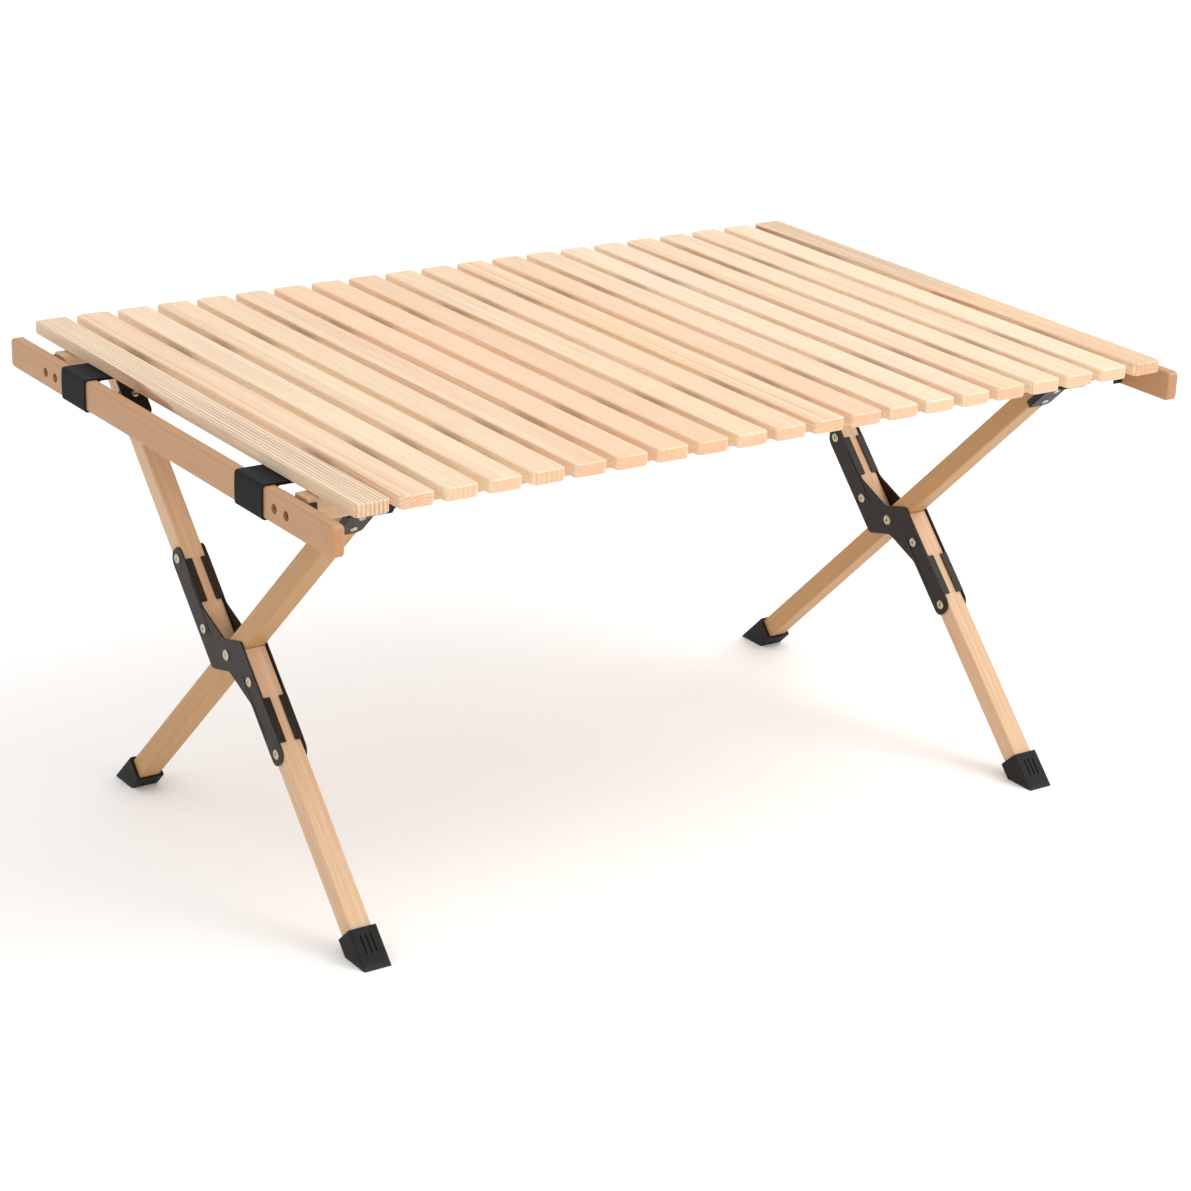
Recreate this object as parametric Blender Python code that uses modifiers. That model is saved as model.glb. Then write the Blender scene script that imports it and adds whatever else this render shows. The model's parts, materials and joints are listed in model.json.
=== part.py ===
"""Folding picnic table: a roll-up slat top on a scissor frame.

Metres, +Z up. The origin is on the floor under the middle of the table. X runs
along the table and Y along the slats, with the front at -Y. The frame is two
U-shaped halves that cross at the hub axis, a line along X:
  front frame: front long rail and two one-piece legs that end in the back feet
  back frame:  back long rail and two split legs that end in the front feet
The top is a mat of slats and end rails on two straps, laid over the long rails.
"""

import math

import bmesh
import bpy
from mathutils import Matrix, Vector

# ------------------------------------------------------------ whole table
GAP = 0.0003  # left between pieces that touch
TABLE_HEIGHT = 0.454

# ------------------------------------------------------------ slat top
SLAT_COUNT = 21
SLAT_PITCH = 0.0427
SLAT_SIZE = (0.033, 0.600, 0.012)
SLAT_CORNER = 0.0045
SLAT_EDGE = 0.0010
SLAT_BOTTOM = TABLE_HEIGHT - SLAT_SIZE[2]

STRAP_WIDTH = 0.048
STRAP_THICKNESS = 0.0015
STRAP_Y = 0.166
STRAP_MID_Z = SLAT_BOTTOM - GAP - STRAP_THICKNESS / 2
STRAP_WRAP = GAP + STRAP_THICKNESS / 2  # from a rail's face to the strap's middle

END_RAIL_SIZE = (0.012, 0.606, 0.028)
END_RAIL_X = 0.4607
END_RAIL_TOP = STRAP_MID_Z - STRAP_WRAP
END_RAIL_Z = END_RAIL_TOP - END_RAIL_SIZE[2] / 2
END_RAIL_CORNER = 0.0045
END_RAIL_EDGE = 0.0015
LEFT_HINGE_X = -0.449

KEEPER_SCREW_Y = (0.2075, 0.2275)
SCREW_RADIUS = 0.0022
COUNTERBORE_RADIUS = 0.0045
COUNTERBORE_DEPTH = 0.004

# ------------------------------------------------------------ long rails
LONG_RAIL_SECTION = 0.022
LONG_RAIL_Y = 0.227
LONG_RAIL_TOP = SLAT_BOTTOM - GAP
LONG_RAIL_BOTTOM = LONG_RAIL_TOP - LONG_RAIL_SECTION
LONG_RAIL_EDGE = 0.0025

KEEPER_THICKNESS = 0.0015
KEEPER_INNER_Y = 0.201
KEEPER_DEPTH = 0.010
KEEPER_HEIGHT = 0.024
KEEPER_PLAY = 0.0006  # between a long rail and the keeper's lip
LONG_RAIL_HALF = (
    END_RAIL_X - END_RAIL_SIZE[0] / 2 - GAP - KEEPER_THICKNESS - KEEPER_PLAY
)

# ------------------------------------------------------------ scissor legs
PIVOT_Z = 0.2105
LEG_X = 0.389
LEG_WIDTH = 0.022  # along X
LEG_DEPTH = 0.020  # in the plane that the leg folds in
LEG_EDGE = 0.0018
THROUGH_LEG_SLOPE = math.radians(44.5)  # front frame, from the horizontal
SPLIT_LEG_SLOPE = math.radians(46)  # back frame
SPLIT_OFFSET = 0.0235  # each half's centre line, from the hub axis
LEG_TOP_Z = LONG_RAIL_BOTTOM - GAP
STOP_GAP = 0.0005  # between a split leg's inner end and the through leg

# Each frame's tilt about X turns local Z up its legs, and local Y square to them.
THROUGH_TILT = math.pi / 2 - THROUGH_LEG_SLOPE
SPLIT_TILT = SPLIT_LEG_SLOPE - math.pi / 2

# ------------------------------------------------------------ foot caps
CAP_WALL_X = 0.00325
CAP_WALL_Y = 0.00275
CAP_FIT = 0.0003
CAP_SOLE = 0.005
CAP_EDGE = 0.0015
THROUGH_CAP_TOP = -0.268  # along the leg from the hub axis
SPLIT_CAP_TOP = -0.287
GROOVE_COUNT = 3
GROOVE_PITCH = 0.0052
GROOVE_SIZE = 0.0014
GROOVE_START = 0.007  # below the cap's rim
GROOVE_LENGTH = 0.018

# ------------------------------------------------------------ hub plates, rivets
PLATE_THICKNESS = 0.0016
PLATE_X = LEG_WIDTH / 2 + GAP + PLATE_THICKNESS / 2
PLATE_ARM_OUTER = 0.035
PLATE_ARM_INNER = 0.012
PLATE_END = 0.120
TAB_DEPTH = 0.0065
TAB_SPAN = (0.060, 0.104)  # along the leg, from the hub axis
RIVET_PLACES = (0.038, 0.1105)  # along the leg, from the hub axis
RIVET_SHANK = 0.0025
RIVET_HEAD = 0.0047
RIVET_HEAD_HEIGHT = 0.0014
RIVET_FIT = 0.0003
PIVOT_HEAD = 0.0052

# ------------------------------------------------------------ corner brackets
BRACKET_THICKNESS = 0.0018
BRACKET_TOP_Z = LONG_RAIL_TOP - 0.003
BRACKET_REACH = 0.036  # beyond the leg, along the rail
BRACKET_ARM_HEIGHT = 0.0165
BRACKET_FILLET = 0.014
BRACKET_CORNER = 0.006
BRACKET_LEG_ARM = 0.043
BRACKET_BEND_CLEAR = 0.0012  # no outline point this close to a bend
BRACKET_LIP_DEPTH = 0.007
BRACKET_LIP_THICKNESS = 0.0016
BRACKET_LIP_LENGTH = 0.030
BRACKET_LEFT = -(LEG_WIDTH / 2 + GAP + BRACKET_THICKNESS)

SIDES = (("left", -1), ("right", 1))


# ------------------------------------------------------------ scene helpers
def clear_scene():
    for obj in list(bpy.data.objects):
        bpy.data.objects.remove(obj)


def new_collection(name):
    group = bpy.data.collections.new(name)
    bpy.context.scene.collection.children.link(group)
    return group


def new_material(name, colour, roughness, metallic=0.0):
    mat = bpy.data.materials.new(name)
    mat.use_nodes = True
    shader = mat.node_tree.nodes["Principled BSDF"]
    shader.inputs["Base Color"].default_value = (*colour, 1.0)
    shader.inputs["Roughness"].default_value = roughness
    shader.inputs["Metallic"].default_value = metallic
    mat.diffuse_color = (*colour, 1.0)
    return mat


def add_part(name, mesh, mat, parent=None, location=(0, 0, 0), tilt=0.0):
    obj = bpy.data.objects.new(name, mesh)
    parts.objects.link(obj)
    if not mesh.materials:
        mesh.materials.append(mat)
    obj.parent = parent
    obj.location = location
    obj.rotation_euler.x = tilt
    return obj


def add_cutter(name, mesh, parent=None, location=(0, 0, 0), tilt=0.0):
    obj = bpy.data.objects.new(name, mesh)
    cutters.objects.link(obj)
    obj.parent = parent
    obj.location = location
    obj.rotation_euler.x = tilt
    obj.hide_render = True
    obj.display_type = "WIRE"
    return obj


def add_pivot(name, location):
    empty = bpy.data.objects.new(name, None)
    parts.objects.link(empty)
    empty.location = location
    return empty


def combine(obj, other, operation):
    step = obj.modifiers.new(operation.lower(), "BOOLEAN")
    step.operation = operation
    step.solver = "EXACT"
    step.object = other


# ------------------------------------------------------------ mesh helpers
def finish_mesh(name, bm):
    bmesh.ops.recalc_face_normals(bm, faces=bm.faces)
    mesh = bpy.data.meshes.new(name)
    bm.to_mesh(mesh)
    bm.free()
    return mesh


def add_box(bm, size, centre=(0, 0, 0)):
    verts = bmesh.ops.create_cube(bm, size=1.0)["verts"]
    bmesh.ops.scale(bm, vec=size, verts=verts)
    bmesh.ops.translate(bm, vec=centre, verts=verts)


def add_rod(bm, radius, length, centre, sides):
    """A cylinder along X."""
    turn = Matrix.Translation(centre) @ Matrix.Rotation(math.pi / 2, 4, "Y")
    bmesh.ops.create_cone(
        bm,
        cap_ends=True,
        segments=sides,
        radius1=radius,
        radius2=radius,
        depth=length,
        matrix=turn,
    )


def bevel(bm, edges, width, segments):
    bmesh.ops.bevel(
        bm, geom=edges, offset=width, segments=segments, profile=0.5, affect="EDGES"
    )


def edges_along(bm, axis):
    def spans(edge):
        side = edge.verts[0].co - edge.verts[1].co
        return abs(side[axis]) > 0.9 * side.length

    return [edge for edge in bm.edges if spans(edge)]


def edges_at(bm, axis, place):
    def lies(edge):
        return all(abs(vert.co[axis] - place) < 1e-6 for vert in edge.verts)

    return [edge for edge in bm.edges if lies(edge)]


def board_bmesh(size, centre, axis, corner, edge, segments):
    """A board whose four edges along axis are rounded, and its two ends eased."""
    bm = bmesh.new()
    add_box(bm, size)
    bevel(bm, edges_along(bm, axis), corner, segments)
    for side in (-1, 1):
        bevel(bm, edges_at(bm, axis, side * size[axis] / 2), edge, 1)
    bmesh.ops.translate(bm, vec=centre, verts=bm.verts)
    return bm


def cut_off(bm, point, normal):
    """Remove what lies beyond the plane and close the cut."""
    geom = bm.verts[:] + bm.edges[:] + bm.faces[:]
    cut = bmesh.ops.bisect_plane(
        bm, geom=geom, plane_co=point, plane_no=normal, clear_outer=True
    )
    rim = [item for item in cut["geom_cut"] if isinstance(item, bmesh.types.BMEdge)]
    bmesh.ops.edgeloop_fill(bm, edges=rim)


def rounded_outline(corners, steps=5):
    """Points of a closed outline; each corner is (u, v, radius)."""
    points = []
    for index, (u, v, radius) in enumerate(corners):
        here = Vector((u, v))
        before = (Vector(corners[index - 1][:2]) - here).normalized()
        after = (Vector(corners[(index + 1) % len(corners)][:2]) - here).normalized()
        half_angle = before.angle(after) / 2
        if radius == 0:
            points.append(here)
            continue
        start = here + before * radius / math.tan(half_angle)
        centre = here + (before + after).normalized() * radius / math.sin(half_angle)
        sweep = math.pi - 2 * half_angle
        turn = 1 if before.cross(after) < 0 else -1
        for step in range(steps + 1):
            spoke = (start - centre).to_3d()
            spoke.rotate(Matrix.Rotation(turn * sweep * step / steps, 3, "Z"))
            points.append(centre + spoke.to_2d())
    return points


def sheet_mesh(name, outline, thickness):
    """A flat outline in the plane of Y and Z, centred on X = 0."""
    curve = bpy.data.curves.new(name, "CURVE")
    curve.dimensions = "2D"
    curve.fill_mode = "BOTH"
    curve.extrude = thickness / 2
    spline = curve.splines.new("POLY")
    spline.points.add(len(outline) - 1)
    for point, place in zip(spline.points, outline):
        point.co = (place[0], place[1], 0, 1)
    spline.use_cyclic_u = True
    flat = bpy.data.objects.new(name, curve)
    cutters.objects.link(flat)
    seen = flat.evaluated_get(bpy.context.evaluated_depsgraph_get())
    mesh = bpy.data.meshes.new_from_object(seen)
    bpy.data.objects.remove(flat)
    bm = bmesh.new()
    bm.from_mesh(mesh)
    bpy.data.meshes.remove(mesh)
    bmesh.ops.remove_doubles(bm, verts=bm.verts, dist=1e-6)
    for vert in bm.verts:
        vert.co = (vert.co.z, vert.co.x, vert.co.y)
    return finish_mesh(name, bm)


def turned_part(name, profile, mat, steps, **place):
    """A turned piece about its own X axis; profile is (x, radius) from +X to -X."""
    mesh = bpy.data.meshes.new(name)
    verts = [(x, 0, radius) for x, radius in profile]
    mesh.from_pydata(verts, [(i, i + 1) for i in range(len(verts) - 1)], [])
    obj = add_part(name, mesh, mat, **place)
    screw = obj.modifiers.new("turn", "SCREW")
    screw.axis = "X"
    screw.steps = steps
    screw.render_steps = steps
    screw.use_merge_vertices = True
    screw.merge_threshold = 0.00001
    return obj


# ------------------------------------------------------------ slat top
def slat_x(number):
    return (number - (SLAT_COUNT + 1) / 2) * SLAT_PITCH


def build_slats():
    """Each slat's origin is on the strap, where it bends on the slat's right side."""
    to_slat = (-SLAT_PITCH / 2, 0, SLAT_BOTTOM + SLAT_SIZE[2] / 2 - STRAP_MID_Z)
    bm = board_bmesh(SLAT_SIZE, to_slat, 2, SLAT_CORNER, SLAT_EDGE, 3)
    mesh = finish_mesh("slat", bm)
    for number in range(1, SLAT_COUNT + 1):
        hinge = (slat_x(number) + SLAT_PITCH / 2, 0, STRAP_MID_Z)
        add_part(f"slat_{number:02d}", mesh, slat_wood, location=hinge)


def screw_cutter(side):
    """Shanks through an end rail and its keepers, with counterbores outside."""
    bm = bmesh.new()
    outer = END_RAIL_SIZE[0] / 2
    for y in KEEPER_SCREW_Y:
        for front_or_back in (-1, 1):
            place = (0, front_or_back * y, 0)
            add_rod(bm, SCREW_RADIUS, 4 * outer, place, 12)
    shanks = add_cutter(
        f"{side}_shanks",
        finish_mesh("shanks", bm),
        location=(dict(SIDES)[side] * END_RAIL_X, 0, END_RAIL_Z),
    )
    bm = bmesh.new()
    depth = dict(SIDES)[side] * (outer - COUNTERBORE_DEPTH / 2 + 0.0005)
    for y in KEEPER_SCREW_Y:
        for front_or_back in (-1, 1):
            place = (depth, front_or_back * y, 0)
            add_rod(bm, COUNTERBORE_RADIUS, COUNTERBORE_DEPTH + 0.001, place, 16)
    bores = add_cutter(
        f"{side}_counterbores",
        finish_mesh("counterbores", bm),
        location=(dict(SIDES)[side] * END_RAIL_X, 0, END_RAIL_Z),
    )
    return shanks, bores


def build_end_rail(side, sign, hinge):
    centre = Vector((sign * END_RAIL_X, 0, END_RAIL_Z)) - hinge
    bm = board_bmesh(END_RAIL_SIZE, centre, 0, END_RAIL_CORNER, END_RAIL_EDGE, 3)
    rail = add_part(
        f"{side}_end_rail", finish_mesh("end_rail", bm), rail_wood, location=hinge
    )
    shanks, bores = screw_cutter(side)
    combine(rail, shanks, "DIFFERENCE")
    combine(rail, bores, "DIFFERENCE")
    build_keepers(side, sign, hinge, shanks)


def build_keepers(side, sign, hinge, shanks):
    """A plate on the end rail's inner face, with a lip outside the long rail."""
    face = END_RAIL_X - END_RAIL_SIZE[0] / 2 - GAP
    lip = LONG_RAIL_Y + LONG_RAIL_SECTION / 2 + KEEPER_PLAY
    for place, way in (("front", -1), ("back", 1)):
        bm = bmesh.new()
        mid_z = END_RAIL_Z
        plate_y = (KEEPER_INNER_Y + lip + KEEPER_THICKNESS) / 2
        plate_size = (KEEPER_THICKNESS, lip + KEEPER_THICKNESS - KEEPER_INNER_Y)
        plate_x = sign * (face - KEEPER_THICKNESS / 2)
        centre = Vector((plate_x, way * plate_y, mid_z)) - hinge
        add_box(bm, (*plate_size, KEEPER_HEIGHT), centre)
        plate = add_part(
            f"{side}_{place}_keeper",
            finish_mesh("keeper", bm),
            dark_steel,
            location=hinge,
        )
        bm = bmesh.new()
        lip_x = sign * (face - KEEPER_DEPTH / 2)
        lip_y = way * (lip + KEEPER_THICKNESS / 2)
        lip_centre = Vector((lip_x, lip_y, mid_z)) - hinge
        lip_size = (KEEPER_DEPTH, KEEPER_THICKNESS, KEEPER_HEIGHT)
        add_box(bm, lip_size, lip_centre)
        lip_part = add_cutter(
            f"{side}_{place}_lip", finish_mesh("lip", bm), location=hinge
        )
        combine(plate, lip_part, "UNION")
        combine(plate, shanks, "DIFFERENCE")


def strap_path():
    """The strap's middle line in X and Z, from one stitched end to the other."""
    inner = END_RAIL_X - END_RAIL_SIZE[0] / 2 - STRAP_WRAP
    outer = END_RAIL_X + END_RAIL_SIZE[0] / 2 + STRAP_WRAP
    bottom = END_RAIL_TOP - END_RAIL_SIZE[2] - STRAP_WRAP
    stitched = STRAP_MID_Z - STRAP_THICKNESS - GAP
    half = [(inner, stitched), (inner, bottom), (outer, bottom), (outer, STRAP_MID_Z)]
    return [(-x, z) for x, z in half] + half[::-1]


def build_straps():
    path = strap_path()
    for place, way in (("front", -1), ("back", 1)):
        mesh = bpy.data.meshes.new("strap")
        edges = [(i, i + 1) for i in range(len(path) - 1)]
        mesh.from_pydata([(x, 0, z) for x, z in path], edges, [])
        bm = bmesh.new()
        bm.from_mesh(mesh)
        bpy.data.meshes.remove(mesh)
        swept = bmesh.ops.extrude_edge_only(bm, edges=bm.edges[:])["geom"]
        moved = [item for item in swept if isinstance(item, bmesh.types.BMVert)]
        bmesh.ops.translate(bm, vec=(0, STRAP_WIDTH, 0), verts=moved)
        bmesh.ops.translate(bm, vec=(0, -STRAP_WIDTH / 2, 0), verts=bm.verts)
        strap = add_part(
            f"{place}_strap",
            finish_mesh("strap", bm),
            webbing,
            location=(0, way * STRAP_Y, 0),
        )
        thicken(strap, STRAP_THICKNESS)


def thicken(obj, thickness):
    solid = obj.modifiers.new("thickness", "SOLIDIFY")
    solid.thickness = thickness
    solid.offset = 0
    solid.use_even_offset = True


# ------------------------------------------------------------ frame
def build_long_rail(name, pivot, way):
    size = (2 * LONG_RAIL_HALF, LONG_RAIL_SECTION, LONG_RAIL_SECTION)
    mid_z = (LONG_RAIL_TOP + LONG_RAIL_BOTTOM) / 2 - PIVOT_Z
    centre = (0, way * LONG_RAIL_Y, mid_z)
    bm = board_bmesh(size, centre, 0, LONG_RAIL_EDGE, 0.0008, 2)
    add_part(name, finish_mesh("long_rail", bm), rail_wood, parent=pivot)


def bar_bmesh(width, depth, low, high, offset, edge):
    """A bar along local Z, from low to high, set off along local Y."""
    bm = bmesh.new()
    add_box(bm, (width, depth, high - low), (0, offset, (low + high) / 2))
    if edge:
        bevel(bm, edges_along(bm, 2), edge, 2)
    return bm


def level(tilt, height, facing):
    """A horizontal plane at a height, in the local axes of a tilted leg."""
    up = Vector((0, math.sin(tilt), math.cos(tilt)))
    return up * (height - PIVOT_Z), up * facing


def build_through_leg(side, x, pivot, hub_cutter):
    length = 0.36
    bm = bar_bmesh(LEG_WIDTH, LEG_DEPTH, -length, length, 0, LEG_EDGE)
    cut_off(bm, *level(THROUGH_TILT, LEG_TOP_Z, 1))
    cut_off(bm, *level(THROUGH_TILT, CAP_SOLE + GAP, -1))
    leg = add_part(
        f"{side}_through_leg",
        finish_mesh("through_leg", bm),
        rail_wood,
        parent=pivot,
        location=(x, 0, 0),
        tilt=THROUGH_TILT,
    )
    combine(leg, hub_cutter, "DIFFERENCE")


def build_split_leg(side, x, pivot, hub_cutter):
    """Two halves, one on each side of the through leg, which stops them open."""
    turn = THROUGH_TILT - SPLIT_TILT
    across = Vector((0, math.cos(turn), math.sin(turn)))
    stop = LEG_DEPTH / 2 + STOP_GAP
    length = 0.36
    bm = bar_bmesh(LEG_WIDTH, LEG_DEPTH, 0, length, SPLIT_OFFSET, LEG_EDGE)
    cut_off(bm, *level(SPLIT_TILT, LEG_TOP_Z, 1))
    cut_off(bm, across * stop, -across)
    upper = finish_mesh("upper_leg", bm)
    bm = bar_bmesh(LEG_WIDTH, LEG_DEPTH, -length, 0, -SPLIT_OFFSET, LEG_EDGE)
    cut_off(bm, *level(SPLIT_TILT, CAP_SOLE + GAP, -1))
    cut_off(bm, -across * stop, across)
    lower = finish_mesh("lower_leg", bm)
    for name, mesh in (("upper", upper), ("lower", lower)):
        half = add_part(
            f"{side}_{name}_leg",
            mesh,
            rail_wood,
            parent=pivot,
            location=(x, 0, 0),
            tilt=SPLIT_TILT,
        )
        combine(half, hub_cutter, "DIFFERENCE")


def build_cap(name, x, pivot, tilt, offset, top):
    low = -0.36
    width = LEG_WIDTH + 2 * CAP_WALL_X
    depth = LEG_DEPTH + 2 * CAP_WALL_Y
    bm = bar_bmesh(width, depth, low, top, offset, CAP_EDGE)
    cut_off(bm, *level(tilt, 0, -1))
    cap = add_part(
        name,
        finish_mesh("foot_cap", bm),
        rubber,
        parent=pivot,
        location=(x, 0, 0),
        tilt=tilt,
    )
    room = 2 * CAP_FIT
    bm = bar_bmesh(LEG_WIDTH + room, LEG_DEPTH + room, low, top + 0.01, offset, 0)
    cut_off(bm, *level(tilt, CAP_SOLE, -1))
    socket = add_cutter(
        f"{name}_socket", finish_mesh("socket", bm), pivot, (x, 0, 0), tilt
    )
    combine(cap, socket, "DIFFERENCE")
    bm = bmesh.new()
    groove_z = top - GROOVE_START - GROOVE_LENGTH / 2
    for number in range(GROOVE_COUNT):
        groove_x = (number - (GROOVE_COUNT - 1) / 2) * GROOVE_PITCH
        size = (GROOVE_SIZE, 2 * GROOVE_SIZE, GROOVE_LENGTH)
        add_box(bm, size, (groove_x, offset - depth / 2, groove_z))
    grooves = add_cutter(
        f"{name}_grooves", finish_mesh("grooves", bm), pivot, (x, 0, 0), tilt
    )
    combine(cap, grooves, "DIFFERENCE")


# ------------------------------------------------------------ hubs
def rivet_points():
    """Places (local Y, local Z) of the four rivets that hold the split leg."""
    return [
        (sign * SPLIT_OFFSET, sign * along) for sign in (1, -1) for along in RIVET_PLACES
    ]


def hub_cutter(side, x, pivot):
    bm = bmesh.new()
    for y, z in [(0, 0)] + rivet_points():
        add_rod(bm, RIVET_SHANK + RIVET_FIT, 0.04, (0, y, z), 12)
    mesh = finish_mesh("rivet_holes", bm)
    return add_cutter(f"{side}_rivet_holes", mesh, pivot, (x, 0, 0), SPLIT_TILT)


def plate_outline():
    """A long Z with two arms, in local Y and Z; its second half is turned by 180."""
    half = [
        (PLATE_ARM_INNER, PLATE_END, 0.008),
        (PLATE_ARM_OUTER, PLATE_END, 0.011),
        (PLATE_ARM_OUTER, 0.003, 0.005),
        (0.006, -0.014, 0.009),
        (-PLATE_ARM_INNER, -0.055, 0.018),
    ]
    return rounded_outline(half + [(-u, -v, radius) for u, v, radius in half])


def tab_mesh(inward):
    """Tabs on the faces of the split leg's halves that look up and forward."""
    bm = bmesh.new()
    low, high = TAB_SPAN
    depth = TAB_DEPTH + PLATE_THICKNESS
    tab_x = inward * (depth - PLATE_THICKNESS) / 2
    for sign in (1, -1):
        face = sign * SPLIT_OFFSET - LEG_DEPTH / 2 - GAP - PLATE_THICKNESS / 2
        size = (depth, PLATE_THICKNESS, high - low)
        add_box(bm, size, (tab_x, face, sign * (low + high) / 2))
    return finish_mesh("tabs", bm)


def build_hub(side, x, pivot, through_pivot, cutter):
    outline = plate_outline()
    for place, way in (("outer", 1), ("inner", -1)):
        plate_side = way if x > 0 else -way
        plate_x = x + plate_side * PLATE_X
        plate = add_part(
            f"{side}_{place}_hub_plate",
            sheet_mesh("hub_plate", outline, PLATE_THICKNESS),
            dark_steel,
            parent=pivot,
            location=(plate_x, 0, 0),
            tilt=SPLIT_TILT,
        )
        tabs = add_cutter(
            f"{side}_{place}_tabs",
            tab_mesh(-plate_side),
            pivot,
            (plate_x, 0, 0),
            SPLIT_TILT,
        )
        combine(plate, tabs, "UNION")
        combine(plate, cutter, "DIFFERENCE")
    build_rivet(f"{side}_pivot_rivet", x, through_pivot, 0, (0, 0), PIVOT_HEAD)
    names = ("upper_inner", "upper_outer", "lower_inner", "lower_outer")
    for name, point in zip(names, rivet_points()):
        rivet = f"{side}_{name}_rivet"
        build_rivet(rivet, x, pivot, SPLIT_TILT, point, RIVET_HEAD)


def build_rivet(name, x, pivot, tilt, point, head):
    under = PLATE_X + PLATE_THICKNESS / 2 + GAP
    top = under + RIVET_HEAD_HEIGHT
    half = [
        (top, 0),
        (top, 0.6 * head),
        (under + 0.5 * RIVET_HEAD_HEIGHT, head),
        (under, head),
        (under, RIVET_SHANK),
    ]
    profile = half + [(-along, radius) for along, radius in reversed(half)]
    y, z = point
    spot = Matrix.Rotation(tilt, 3, "X") @ Vector((0, y, z))
    turned_part(name, profile, nickel, 14, parent=pivot, location=(x, spot.y, spot.z))


# ------------------------------------------------------------ corner brackets
def bracket_path(tilt, offset, rail_face, step_under):
    """The sheet's middle line (Y, Z from the hub) down the rail, then the leg."""
    clear = GAP + BRACKET_THICKNESS / 2
    face_y = rail_face - clear
    along = Vector((-math.sin(tilt), math.cos(tilt)))
    square = Vector((math.cos(tilt), math.sin(tilt)))
    on_leg = square * (offset - LEG_DEPTH / 2 - clear)
    top = Vector((face_y, BRACKET_TOP_Z - PIVOT_Z))
    if step_under:
        under_z = LONG_RAIL_BOTTOM - clear - PIVOT_Z
        bend = on_leg + along * (under_z - on_leg.y) / along.y
        path = [top, Vector((face_y, under_z)), bend]
    else:
        path = [top, on_leg + along * (face_y - on_leg.x) / along.x]
    path.append(path[-1] - along * BRACKET_LEG_ARM)
    return path


def bracket_right_edge(s, total):
    """The sheet's +X edge, from the leg's middle, at the distance s down the sheet."""
    leg_side = LEG_WIDTH / 2
    corner = BRACKET_CORNER
    if s <= BRACKET_ARM_HEIGHT:
        nearest = min(s, BRACKET_ARM_HEIGHT - s)
        dip = corner - min(nearest, corner)
        rounding = corner - math.sqrt(corner**2 - dip**2)
        return leg_side + BRACKET_REACH - rounding
    if s <= BRACKET_ARM_HEIGHT + BRACKET_FILLET:
        left = BRACKET_ARM_HEIGHT + BRACKET_FILLET - s
        return leg_side + BRACKET_FILLET - math.sqrt(BRACKET_FILLET**2 - left**2)
    dip = corner - min(total - s, corner)
    return leg_side - corner + math.sqrt(corner**2 - dip**2)


def bracket_stations(path):
    """Distances down the sheet where its outline or its line bends."""
    bends = [0.0]
    for here, there in zip(path, path[1:]):
        bends.append(bends[-1] + (there - here).length)
    arm, corner, total = BRACKET_ARM_HEIGHT, BRACKET_CORNER, bends[-1]
    steps = [corner * part for part in (0.0, 0.15, 0.45, 1.0)]
    stations = steps + [arm - step for step in steps]
    fillet_parts = (0.04, 0.12, 0.28, 0.5, 0.75, 1.0)
    stations += [arm + BRACKET_FILLET * part for part in fillet_parts]
    stations += [total - step for step in steps]

    def clear(s):
        return all(abs(s - bend) > BRACKET_BEND_CLEAR for bend in bends)

    return bends, sorted([s for s in stations if clear(s)] + bends)


def point_on(path, bends, s):
    for index in range(len(bends) - 1):
        if s <= bends[index + 1] + 1e-9:
            span = bends[index + 1] - bends[index]
            return path[index].lerp(path[index + 1], (s - bends[index]) / span)
    return path[-1]


def build_bracket(name, x, pivot, tilt, offset, rail_face, step_under):
    path = bracket_path(tilt, offset, rail_face, step_under)
    bends, stations = bracket_stations(path)
    total = stations[-1]
    bm = bmesh.new()
    previous = None
    for s in stations:
        place = point_on(path, bends, s)
        right = bracket_right_edge(s, total)
        row = [bm.verts.new((edge, *place)) for edge in (BRACKET_LEFT, right)]
        if previous:
            bm.faces.new((previous[0], row[0], row[1], previous[1]))
        previous = row
    bracket = add_part(
        name,
        finish_mesh("bracket", bm),
        dark_steel,
        parent=pivot,
        location=(x, 0, 0),
    )
    thicken(bracket, BRACKET_THICKNESS)
    lip = lip_mesh(tilt, offset, path)
    lip_part = add_cutter(f"{name}_lip", lip, pivot, (x, 0, 0))
    combine(bracket, lip_part, "UNION")


def lip_mesh(tilt, offset, path):
    """A lip on the leg's -X side, at the end of the bracket's leg arm."""
    bm = bmesh.new()
    square_low = -(BRACKET_THICKNESS + BRACKET_LIP_THICKNESS) / 2 - GAP
    size = (BRACKET_LIP_THICKNESS, BRACKET_LIP_DEPTH, BRACKET_LIP_LENGTH)
    low_y = offset - LEG_DEPTH / 2 + square_low
    end = Matrix.Rotation(-tilt, 3, "X") @ Vector((0, *path[-1]))
    centre = (
        BRACKET_LEFT + BRACKET_THICKNESS / 2,
        low_y + BRACKET_LIP_DEPTH / 2,
        end.z + BRACKET_LIP_LENGTH / 2,
    )
    add_box(bm, size, centre)
    turn = Matrix.Rotation(tilt, 3, "X")
    bmesh.ops.rotate(bm, cent=(0, 0, 0), matrix=turn, verts=bm.verts)
    return finish_mesh("lip", bm)


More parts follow.
